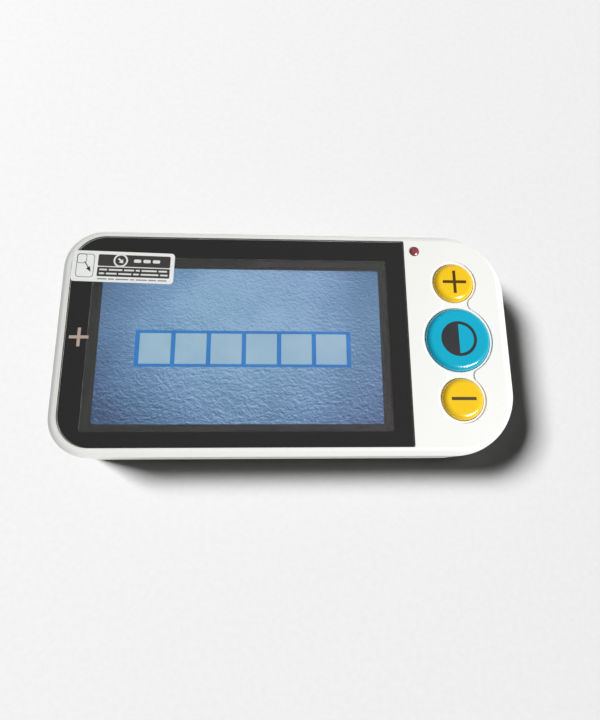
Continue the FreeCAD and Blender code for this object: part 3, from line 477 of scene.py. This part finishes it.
def cells():
    x = BX0 + SIDE
    for i in range(6):
        yield x, x + CW
        x += CW + BAR


def build_lines(bm):
    slab(bm, round_rect(BX0, BX1, BY0, BY0 + RULE, 0), zp, zp + 0.01)
    slab(bm, round_rect(BX0, BX1, BY1 - RULE, BY1, 0), zp, zp + 0.01)
    edges = [BX0] + [v for c in cells() for v in c] + [BX1]
    for i in range(0, len(edges), 2):
        slab(bm, round_rect(edges[i], edges[i + 1], BY0 + RULE, BY1 - RULE, 0), zp, zp + 0.01)


def build_cells(bm):
    for a, b in cells():
        slab(bm, round_rect(a, b, BY0 + RULE, BY1 - RULE, 0), zp, zp + 0.01)


piece("picture_ground", build_ground, picture)
piece("picture_lines", build_lines, line_lit)
piece("picture_cells", build_cells, cell_lit)

# ------------------------------------------------------------------ label graphics
SX, SY, SA = -56.0, 24.74, -1.4
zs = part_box("screen_sticker")[1].z / MM


def on_label(pts):
    return turned(pts, SA, 0, 0, SX, SY)


def label_piece(name, shapes, material, level):
    z0 = zs + 0.004 + 0.008 * level

    def build(bm):
        for s in shapes:
            outer, inner = s if isinstance(s, tuple) else (s, None)
            slab(bm, on_label(outer), z0, z0 + 0.006, None if inner is None else on_label(inner))

    return piece(name, build, material)


label_piece("label_bars", [
    round_rect(-8.6, 15.8, 0.16, 4.45, 0.5), round_rect(-8.6, 15.8, -3.62, -0.16, 0.4)], ink_dark, 0)
label_piece("label_pictogram", [
    (round_rect(-15.75, -9.75, -4.15, 4.45, 1.1), round_rect(-15.5, -10.0, -3.9, 4.2, 0.9)),
    (round_rect(-15.75, -12.4, 0.9, 4.45, 0.9), round_rect(-15.5, -12.65, 1.15, 4.2, 0.7))], ink_grey, 0)
label_piece("label_arrow", [
    turned(round_rect(-1.9, 1.3, -0.16, 0.16, 0.1), -56, 0, 0, -12.0, 0.0),
    turned([(0.4, -0.75), (2.3, 0.0), (0.4, 0.75)], -56, 0, 0, -12.0, -0.2)], ink_dark, 0)
disc = arc_pts(-1.04, 2.35, 2.45, 0, 345, 23)
hole = arc_pts(-1.04, 2.35, 1.85, 0, 345, 23)
label_piece("label_ring", [(disc, hole)], ink_white, 1)
# generic pull arrow inside the ring and greeked dashes in place of words
label_piece("label_pull_arrow", [
    turned([(-1.1, -0.3), (0.1, -0.3), (0.1, -0.95), (1.35, 0.0), (0.1, 0.95), (0.1, 0.3), (-1.1, 0.3)], -45, 0, 0, -1.04, 2.35)], ink_white, 1)
dashes = [round_rect(3.4 + 3.2 * i, 5.9 + 3.2 * i, 1.75, 2.95, 0.5) for i in range(3)]
x = -7.9
for k, w in enumerate((2.6, 4.6, 3.4, 1.4, 5.2, 2.9)):
    dashes.append(round_rect(x, x + w, -1.45, -0.85, 0.25))
    x += w + 0.55
x = -7.9
for k, w in enumerate((1.8, 3.6, 4.4, 2.0, 6.0, 2.6)):
    dashes.append(round_rect(x, x + w, -2.85, -2.25, 0.25))
    x += w + 0.55
label_piece("label_dashes", dashes, ink_white, 1)
small = []
x = -8.3
for w in (3.2, 2.1, 4.4, 1.5, 3.8, 2.7, 3.1):
    small.append(round_rect(x, x + w, -4.75, -4.3, 0.18))
    x += w + 0.42
label_piece("label_small_dashes", small, ink_grey, 0)

# pale plus printed on the window's left border
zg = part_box("display_window")[1].z / MM


def build_plus(bm):
    a, b, c, d = 3.15, 3.2, 0.52, 0.52
    cx, cy = -68.6, -0.1
    pts = [(-a, -d), (-c, -d), (-c, -b), (c, -b), (c, -d), (a, -d), (a, d), (c, d), (c, b), (-c, b), (-c, d), (-a, d)]
    slab(bm, [(x + cx, y + cy) for x, y in pts], zg + 0.002, zg + 0.01)


piece("border_plus", build_plus, ink_pale)

# ------------------------------------------------------------------ floor and light
m = Mat("floor_pale")
paper = m.noise(500, 5, 0.6)
m.colour(m.ramp(paper, (0.3, lin(134, 134, 134)), (0.7, lin(137, 137, 137))))
m.rough(0.9)
m.bump(paper, 0.1, 0.1 * MM)
floor_mat = m.done()
me = bpy.data.meshes.new("floor")
s = 6.0
me.from_pydata([(-s, -s, 0), (s, -s, 0), (s, s, 0), (-s, s, 0)], [], [(0, 1, 2, 3)])
me.materials.append(floor_mat)
floor = bpy.data.objects.new("floor", me)
bpy.context.scene.collection.objects.link(floor)
floor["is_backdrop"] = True

# pale studio backdrop behind the floor, seen by the lens only, so that it throws no light
m = Mat("backdrop_pale")
paper = m.noise(0.6, 2, 0.5)
m.link(m.ramp(paper, (0.3, lin(238, 238, 238)), (0.7, lin(242, 242, 242))), m.b.inputs["Emission Color"])
m.colour(lin(10, 10, 10))
backdrop_mat = m.done(Emission_Strength=1.0, Roughness=1.0)
me = bpy.data.meshes.new("backdrop")
bm = bmesh.new()
bmesh.ops.create_uvsphere(bm, u_segments=64, v_segments=32, radius=5.6)
bmesh.ops.bisect_plane(bm, geom=bm.verts[:] + bm.edges[:] + bm.faces[:], plane_co=(0, 0, 0.0), plane_no=(0, 0, 1), clear_inner=True)
for f in bm.faces:
    f.smooth = True
bm.to_mesh(me)
bm.free()
me.materials.append(backdrop_mat)
backdrop = bpy.data.objects.new("backdrop", me)
bpy.context.scene.collection.objects.link(backdrop)
for ray in ("visible_diffuse", "visible_glossy", "visible_transmission", "visible_volume_scatter", "visible_shadow"):
    setattr(backdrop, ray, False)
backdrop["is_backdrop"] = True

world = bpy.data.worlds.new("studio")
bpy.context.scene.world = world
world.use_nodes = True
world.node_tree.nodes["Background"].inputs["Color"].default_value = (1.0, 1.0, 1.0, 1.0)
world.node_tree.nodes["Background"].inputs["Strength"].default_value = 0.07

# the floor and the object are lit by separate soft lamps, so that each keeps one clean direction of light
on_floor = bpy.data.collections.new("lit_floor")
on_object = bpy.data.collections.new("lit_object")
on_floor.objects.link(floor)
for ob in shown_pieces():
    on_object.objects.link(ob)


def area(name, pos, target, size, power, receivers, mirrored=True, colour=(1, 1, 1)):
    data = bpy.data.lights.new(name, "AREA")
    data.shape = "RECTANGLE"
    data.size, data.size_y = size
    data.energy = power
    data.color = colour
    ob = bpy.data.objects.new(name, data)
    bpy.context.scene.collection.objects.link(ob)
    ob.location = pos
    ob.rotation_euler = (Vector(target) - Vector(pos)).to_track_quat("-Z", "Y").to_euler()
    ob.light_linking.receiver_collection = receivers
    ob.visible_glossy = mirrored
    return ob


area("key_right", (0.66, -0.41, 0.88), (0, 0, 0.01), (0.45, 0.45), 13.5, on_object)
area("back_fill", (0.30, 1.05, 1.15), (0, 0, 0.01), (0.50, 0.50), 6.8, on_object, mirrored=False)
area("floor_light", (-7.0, 3.0, 7.8), (0, 0, 0), (2.9, 2.9), 5650.0, on_floor)

bpy.context.scene.view_settings.view_transform = "Standard"
